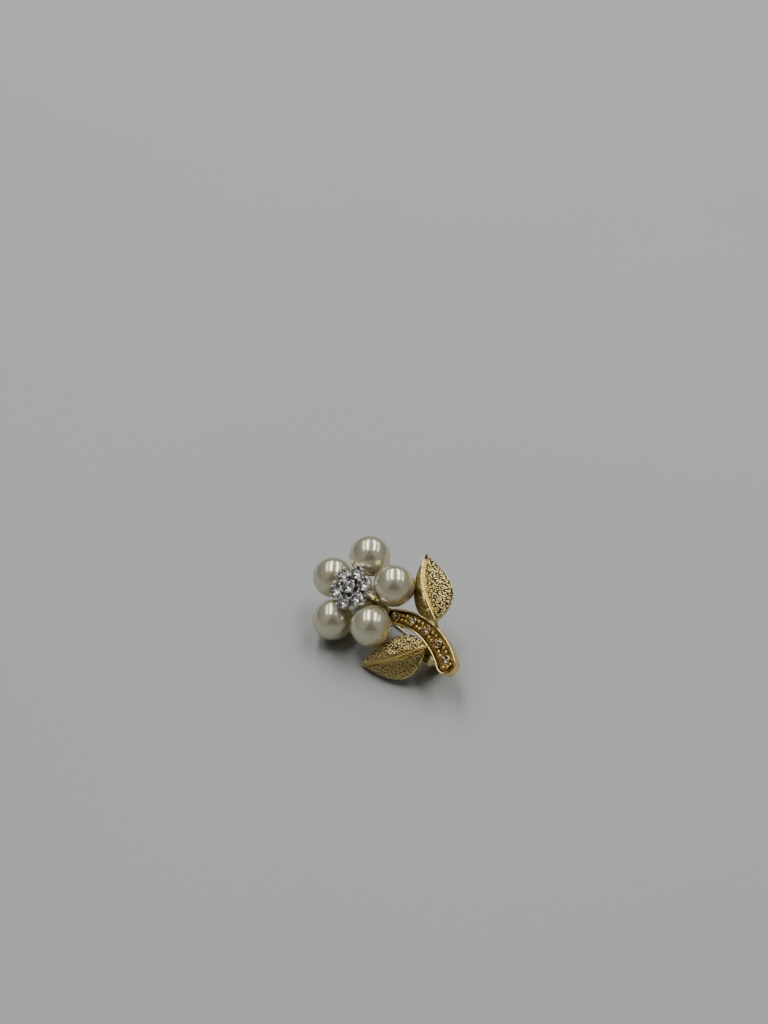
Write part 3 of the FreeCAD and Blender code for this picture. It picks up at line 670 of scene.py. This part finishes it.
PAINTED_SHADE_CHANNEL_FINISH = painted_shade_channel_finish()
channel = stem_surface()
INNER_EDGE = 9  # the row where the rail turns down into the channel
stem_patches = [
    surface(channel[: INNER_EDGE + 1], wrap_cols=True),
    # the inner wall and floor take the gold with painted shade
    surface(channel[INNER_EDGE:], wrap_cols=True, finish=1),
]
stem_patches += [round_grain(place) for place in grain_places()]
for angle in SEAT_ANGLES:
    seat = tube_ring(
        SEAT_INNER, SEAT_OUTER, FLOOR_LEVEL - 0.05, STEM_STONE_LEVEL + SEAT_LIP, 30
    )
    seat = clear_of_pearls(seat + stem_point(angle), 4)
    stem_patches.append(surface(seat, wrap_rows=True, wrap_cols=True))
make_piece(
    "stem_channel",
    stem_patches,
    [POLISHED_GOLD, PAINTED_SHADE_CHANNEL_FINISH],
    replaces=["stem"],
    sharp=40.0,
)

# ---------------------------------------------------------------------------------------------
# The stem's stones: five smaller brilliants of the same glass, backed with gold foil, one to each
# seat. The first lies in the shade of two pearls, nearest the flower.

GOLD_FOIL = stone_backing("gold_foil", (0.50, 0.38, 0.22), (0.86, 0.74, 0.56))
for number, angle in enumerate(SEAT_ANGLES[::-1], start=1):
    make_piece(
        f"stem_brilliant_{number}",
        stone_patches(stem_point(angle, 0.0, STEM_STONE_LEVEL), STEM_STONE_RADIUS, 23.0 * number),
        [CUT_GLASS, GOLD_FOIL],
        replaces=[f"stem_stone_{number}"],
        sharp=0.0,
    )

# ---------------------------------------------------------------------------------------------
# The leaves: two cast blades, arched across and along, hollow behind. Their faces are chased with
# grains, coarser on one half than on the other, with painted shade darkening the hollows between
# the grains, and a bright ridged midrib runs on to the stem.

LEAF_LENGTH, LEAF_HALF_WIDTH, LEAF_WALL = 14.0, 4.1, 0.75
LEAF_CROSS_RADIUS, LEAF_LONG_RADIUS, LEAF_LEVEL = 6.0, 24.0, -1.44
LEAF_ROWS, LEAF_COLS, BACK_COLS = 250, 200, 30
LEAF_CREST = 0.45 * LEAF_LENGTH
RISE_POWER, FALL_POWER = 0.735, 1.2
WIDEST = RISE_POWER / (RISE_POWER + FALL_POWER)
RIB_END, RIB_HALF_WIDTH, RIB_RISE = 0.93, 0.30, 0.46
COARSE_PITCH, COARSE_RISE = 0.40, 0.17
FINE_PITCH, FINE_RISE = 0.28, 0.10
GROOVE_DEPTH, EDGE_DROP, NOTCH_PITCH = 0.20, 0.14, 0.85
SWELL_PITCH, SWELL_RISE = 2.6, 0.05


def leaf_outline(share):
    """Half width over its most: a power of the share from the base, times one of the share left."""
    most = WIDEST**RISE_POWER * (1 - WIDEST) ** FALL_POWER
    return share**RISE_POWER * (1 - share) ** FALL_POWER / most


def leaf_arch(x, y, lift):
    """Level of a barrel about the leaf's length, sagging towards both ends."""
    sag = (x - LEAF_CREST) ** 2 / (2 * LEAF_LONG_RADIUS)
    radius = LEAF_CROSS_RADIUS + lift - sag
    return np.sqrt(np.clip(radius**2 - y**2, 0.01, None)) - LEAF_CROSS_RADIUS


def scattered_cells(x, y, pitch, seed):
    """Distance to the nearest of points strewn one to a cell of a square net, in cells."""
    strewn = 0.12 + 0.76 * np.random.default_rng(seed).random((64, 64, 2))
    col, row = np.floor(x / pitch).astype(int), np.floor(y / pitch).astype(int)
    nearest = np.full(np.broadcast(x, y).shape, 9.0)
    for across in (-1, 0, 1):
        for up in (-1, 0, 1):
            spot = strewn[(col + across) % 64, (row + up) % 64]
            away_x = col + across + spot[..., 0] - x / pitch
            away_y = row + up + spot[..., 1] - y / pitch
            nearest = np.minimum(nearest, np.hypot(away_x, away_y))
    return nearest


def smooth_step(value, low, high):
    """0 below low, 1 above high, and a smooth rise between them."""
    share = np.clip((value - low) / (high - low), 0, 1)
    return share * share * (3 - 2 * share)


def chased_grain(x, y, seed):
    """Domes over strewn points: coarse on the midrib's lower side in y, and fine on the other."""
    reach = 0.62
    coarse = np.clip(1 - (scattered_cells(x, y, COARSE_PITCH, seed) / reach) ** 2, 0, 1)
    fine = np.clip(1 - (scattered_cells(x, y, FINE_PITCH, seed + 1) / reach) ** 2, 0, 1)
    share = smooth_step(-y, -0.4, 0.4)
    grain = share * coarse + (1 - share) * 0.8 * fine
    return grain, share * COARSE_RISE + (1 - share) * FINE_RISE


def midrib_line(share, bow):
    """How far the midrib bows sideways at a share of the leaf's length."""
    return bow * np.sin(np.pi * np.clip(share, 0, 1)) ** 1.2


def leaf_blade(bow, lean, seed, notch):
    """Face from edge to edge, then the hollow back; both drawn in to a point at base and tip."""
    share = np.linspace(0, 1, LEAF_ROWS)[:, None]
    face = np.linspace(-1, 1, LEAF_COLS)[None, :]
    back = np.linspace(1, -1, BACK_COLS)[None, 1:-1]
    side = np.concatenate([face, back], axis=1)
    x = LEAF_LENGTH * share + 0 * side
    waves = 1 + notch * np.sin(2 * np.pi * x / NOTCH_PITCH) * smooth_step(np.abs(side), 0.7, 1.0)
    y = lean * np.sin(np.pi * share) + side * LEAF_HALF_WIDTH * leaf_outline(share) * waves
    rib = midrib_line(share, bow)
    edge = smooth_step(np.abs(side), 0.93, 1.0)
    near_rib = 1 - smooth_step(np.abs(y - rib), 0.30, 0.70)
    grain, depth = chased_grain(x, y - rib, seed)
    rough = (1 - near_rib) * (1 - 0.6 * edge) * smooth_step(1 - share, 0.0, 0.03)
    waviness = np.sin(2 * np.pi * (x - 0.9 * np.abs(y - rib)) / SWELL_PITCH)
    swell = SWELL_RISE * waviness * (1 - near_rib) * (1 - edge)
    sunk = GROOVE_DEPTH * near_rib + EDGE_DROP * edge
    face_level = leaf_arch(x, y, 0.0) + depth * grain * rough + swell - sunk
    is_face = np.arange(side.shape[1]) < LEAF_COLS
    level = np.where(is_face, face_level, leaf_arch(x, y, -LEAF_WALL) + 0.15 * edge)
    # height is 1 on grain tops and smooth parts and 0 deep in the hollows; the chased gold paints shade
    # by it
    height = np.where(is_face, 1 - rough * (1 - grain), 0.5)
    return np.stack([x, y, level], -1), height


def midrib(bow, tail):
    """A ridge with a rounded crest, carried along the bowed line and drawn out to both ends."""
    share = np.linspace(-tail / LEAF_LENGTH, RIB_END, 90)[:, None]
    turn = np.radians(np.linspace(-25, 205, 13))
    round_top = np.stack([-1.1 * np.cos(turn), np.sin(turn)], -1)
    section = np.concatenate([round_top, [(0.0, -1.0)]])
    x = LEAF_LENGTH * share
    fade = 1 - 0.78 * smooth_step(share, 0.0, 1.0)
    ends = smooth_step(share, share[0], share[2]) * (1 - smooth_step(share, share[-3], share[-1]))
    width, rise = RIB_HALF_WIDTH * fade * ends, RIB_RISE * fade * ends
    y = midrib_line(share, bow) + width * section[:, 0]
    level = leaf_arch(x, midrib_line(share, bow), 0.0) + rise * section[:, 1]
    return np.stack(np.broadcast_arrays(x, y, level), -1)


def leaf_place(points, base, turn):
    """Turns leaf points in the brooch's plane and moves their base into place."""
    cos, sin = math.cos(math.radians(turn)), math.sin(math.radians(turn))
    turned_points = points @ np.array([[cos, sin, 0], [-sin, cos, 0], [0, 0, 1]])
    return turned_points + np.array([base[0], base[1], LEAF_LEVEL])


def chased_gold_painted_shade():
    """Gold plate over the chased grain, with painted shade: near black brown in the hollows, full gold
    on the grains; duller in the hollows.
    """
    material = finish_of("chased_gold_painted_shade", Metallic=1.0)
    relief = add_node(material, "ShaderNodeAttribute")
    relief.attribute_name = "relief"
    # painted shade: the colour falls from full gold on the grain tops to near black in the hollows
    stops = [(0.0, (0.07, 0.045, 0.012)), (0.45, (0.35, 0.27, 0.095)), (1.0, (0.86, 0.72, 0.35))]
    blend_colours(material, (relief, "Fac"), stops)
    vary(material, (relief, "Fac"), 0.40, 0.12, "Roughness", 0.1, 0.9)
    pits = object_noise(material, 7.0, detail=4.0)
    roughen(material, (pits, "Fac"), 0.012)
    return material


CHASED_GOLD_PAINTED_SHADE = chased_gold_painted_shade()
LEAVES = {  # lengths in mm, turns in degrees
    "upper": {"base": (14.2, -8.5), "turn": 93.0, "bow": 0.95, "tail": 1.8, "lean": 0.0},
    "lower": {"base": (11.5, -13.0), "turn": 181.0, "bow": 0.75, "tail": 0.95, "lean": 0.45},
}
NOTCHES = {"upper": 0.014, "lower": 0.010}  # shares of the half width
STREWN = {"upper": 11, "lower": 15}  # seeds of the grain
for which, leaf in LEAVES.items():
    base, turn = leaf["base"], leaf["turn"]
    blade, height = leaf_blade(leaf["bow"], leaf["lean"], STREWN[which], NOTCHES[which])
    blade = clear_of_pearls(leaf_place(blade, base, turn), 4, 5)
    rib = clear_of_pearls(leaf_place(midrib(leaf["bow"], leaf["tail"]), base, turn), 4)
    make_piece(
        f"{which}_leaf",
        [
            surface(blade, wrap_cols=True, height=height),
            surface(rib, wrap_cols=True, finish=1, height=np.ones(rib.shape[:2])),
        ],
        [CHASED_GOLD_PAINTED_SHADE, POLISHED_GOLD],
        replaces=[f"leaf_{which}"],
        sharp=60.0,
    )

# ---------------------------------------------------------------------------------------------
# The fastening: a hinge with two ears and a rivet, the pin that swings on it, and a safety catch
# whose slotted lock turns with a thumb tab. Stamped and turned brass, gold plated, and a steel pin.

PIN_GOLD = bright_gold("finding_gold", (0.80, 0.66, 0.36), (0.68, 0.54, 0.26), 0.16, 0.32, 0.006)
PIN_STEEL = bright_gold("pin_steel", (0.62, 0.61, 0.58), (0.50, 0.49, 0.47), 0.14, 0.28, 0.004)
softened("hinge_ears", "hinge_base", 0.10, PIN_GOLD)
softened("hinge_pin_rivet", "hinge_rivet", 0.06, PIN_GOLD)
softened("swinging_pin", "pin_stem", 0.04, PIN_STEEL, body="pin")
softened("catch_ring", "catch_housing", 0.10, PIN_GOLD)
softened("turning_lock", "catch_lock", 0.08, PIN_GOLD, body="lock")

# ---------------------------------------------------------------------------------------------
# The studio: a pale matt table, a soft overhead light of four long strips, a dark flag in front
# with a pointed top, and the camera at the height that the brooch was seen from.

ELEVATION = math.radians(37.3)
ROLL = math.radians(1.4)
DISTANCE = 211.2  # mm, along the camera's axis
FLOWER_LEFT, FLOWER_BELOW = 4.61, 15.54  # mm from the axis to the flower's middle
FOCAL_LENGTH = 38.67

toward = np.array([0.0, -math.cos(ELEVATION), math.sin(ELEVATION)])
level_right = np.array([1.0, 0.0, 0.0])
unrolled_up = np.cross(toward, level_right)
camera_right = math.cos(ROLL) * level_right + math.sin(ROLL) * unrolled_up
camera_up = np.cross(toward, camera_right)


lens = bpy.data.cameras.new("camera")
lens.lens = FOCAL_LENGTH
lens.sensor_width = 36.0
lens.clip_start = 0.01
camera = bpy.data.objects.new("camera", lens)
bpy.context.scene.collection.objects.link(camera)
camera_at = FLOWER + MM * (
    FLOWER_LEFT * camera_right + FLOWER_BELOW * camera_up + DISTANCE * toward
)
columns = np.stack([camera_right, camera_up, toward, camera_at], axis=1)
camera.matrix_world = Matrix([*columns.tolist(), (0.0, 0.0, 0.0, 1.0)])
bpy.context.scene.camera = camera

TABLE_RADIUS, BACKDROP_BEND, BACKDROP_TOP = 1.45, 0.4, 2.0  # m
TABLE_GREY = (0.45, 0.46, 0.45)


def studio_surface(name, radii, heights, material):
    """A profile of radius and height turned about the upright line through the origin."""
    turn = np.linspace(0, 2 * np.pi, 96, endpoint=False)
    radii, heights = np.asarray(radii)[:, None], np.asarray(heights)[:, None]
    points = np.stack(
        np.broadcast_arrays(radii * np.cos(turn), radii * np.sin(turn), heights), -1
    )
    mesh = bpy.data.meshes.new(name)
    faces = grid_faces(len(radii), len(turn), False, True)
    mesh.from_pydata(points.reshape(-1, 3).tolist(), [], faces.tolist())
    mesh.polygons.foreach_set("use_smooth", [True] * len(mesh.polygons))
    mesh.materials.append(material)
    thing = bpy.data.objects.new(name, mesh)
    bpy.context.scene.collection.objects.link(thing)
    return thing


def matt_grey(name, **sockets):
    """Matt pale paint with faint wide clouds."""
    material = finish_of(name, Roughness=0.55, Specular_IOR_Level=0.3, **sockets)
    clouds = object_noise(material, 0.006, detail=2.0)
    darker = tuple(0.97 * part for part in TABLE_GREY)
    blend_colours(material, (clouds, "Fac"), [(0.3, darker), (0.7, TABLE_GREY)])
    return material


studio_surface("table", [0.0001, 0.5, TABLE_RADIUS], [0, 0, 0], matt_grey("pale_table"))
bend = np.linspace(0, np.pi / 2, 12)
backdrop = studio_surface(
    "backdrop",
    [*(TABLE_RADIUS + BACKDROP_BEND * np.sin(bend)), TABLE_RADIUS + BACKDROP_BEND],
    [*(BACKDROP_BEND * (1 - np.cos(bend))), BACKDROP_TOP],
    matt_grey("pale_backdrop", Emission_Color=(*TABLE_GREY, 1.0), Emission_Strength=0.55),
)
backdrop.visible_glossy = False
backdrop.visible_diffuse = False
backdrop.visible_shadow = False
backdrop.visible_transmission = False

SHELL_RADIUS = 3.6  # m
SHELL_FADE = (-1.6, 1.2)  # m, from front to back, between which it dims
SHELL_FRONT, SHELL_BACK = 0.27, 0.04  # how pale it is


def pale_shell():
    """A far dome, pale in front and dim behind, that mirrors and glass see but the shadows do not."""
    material = finish_of("pale_shell", Base_Color=(0, 0, 0, 1), Emission_Color=(1.0, 1.0, 0.97, 1))
    place = add_node(material, "ShaderNodeTexCoord")
    split = add_node(material, "ShaderNodeSeparateXYZ", Vector=(place, "Object"))
    vary(material, (split, "Y"), SHELL_FRONT, SHELL_BACK, "Emission Strength", *SHELL_FADE)
    rise = np.radians(np.linspace(0, 89, 30))
    shell = studio_surface(
        "pale_shell", SHELL_RADIUS * np.cos(rise), SHELL_RADIUS * np.sin(rise), material
    )
    shell.visible_camera = False
    shell.visible_diffuse = False
    shell.visible_shadow = False


pale_shell()

LIGHT_HEIGHT = 1.1  # m over the table
STRIP_SLOPES = (-0.62, -0.21, 0.385, 0.887)  # sideways reach of each strip for each metre up
STRIP_WIDTHS = (0.15, 0.17, 0.17, 0.15)
STRIP_NEAR, STRIP_FAR = -0.20, 1.40  # lengthways reach for each metre up
STRIP_POWER = (4.4, 8.6, 8.6, 4.4)

for number, (slope, width, power) in enumerate(zip(STRIP_SLOPES, STRIP_WIDTHS, STRIP_POWER)):
    strip = bpy.data.lights.new(f"strip_{number}", "AREA")
    strip.shape = "RECTANGLE"
    strip.size = width * LIGHT_HEIGHT
    strip.size_y = (STRIP_FAR - STRIP_NEAR) * LIGHT_HEIGHT
    strip.energy = power
    lamp = bpy.data.objects.new(f"strip_{number}", strip)
    lamp.location = (
        slope * LIGHT_HEIGHT,
        (STRIP_FAR + STRIP_NEAR) / 2 * LIGHT_HEIGHT,
        LIGHT_HEIGHT,
    )
    bpy.context.scene.collection.objects.link(lamp)

FLAG_DISTANCE = 0.45  # m
# each corner's way from the flower: so far right, up and towards the camera
FLAG_CORNERS = ((0.0, 0.640, 0.768), (0.513, -0.285, 0.809), (-0.513, -0.285, 0.809))


def dark_flag():
    """A black three-cornered card behind the camera, which only mirrors and glass see."""
    ways = np.array(FLAG_CORNERS) @ np.stack([camera_right, camera_up, toward])
    ways /= np.linalg.norm(ways, axis=1, keepdims=True)
    mesh = bpy.data.meshes.new("dark_flag")
    mesh.from_pydata((FLOWER + FLAG_DISTANCE * ways).tolist(), [], [(0, 1, 2)])
    felt = finish_of("black_felt", Base_Color=(0.02, 0.018, 0.015, 1.0), Roughness=0.9)
    mesh.materials.append(felt)
    card = bpy.data.objects.new("dark_flag", mesh)
    bpy.context.scene.collection.objects.link(card)
    card.visible_camera = False
    card.visible_shadow = False
    card.visible_diffuse = False


dark_flag()


ROOM_GREYS = ((0.0, 0.04), (0.35, 0.03), (0.75, 0.07), (1.0, 0.10))  # up-slope, and its grey


def dim_room():
    """The room round the lights: paler overhead, dark towards the horizon."""
    world = bpy.data.worlds.new("dim_room")
    world.use_nodes = True
    tree = world.node_tree
    place = tree.nodes.new("ShaderNodeTexCoord")
    split = tree.nodes.new("ShaderNodeSeparateXYZ")
    ramp = tree.nodes.new("ShaderNodeValToRGB")
    tree.links.new(place.outputs["Generated"], split.inputs["Vector"])
    tree.links.new(split.outputs["Z"], ramp.inputs["Fac"])
    fill_ramp(ramp, [(share, (grey, grey, 0.98 * grey)) for share, grey in ROOM_GREYS])
    tree.links.new(ramp.outputs["Color"], tree.nodes["Background"].inputs["Color"])
    bpy.context.scene.world = world


dim_room()
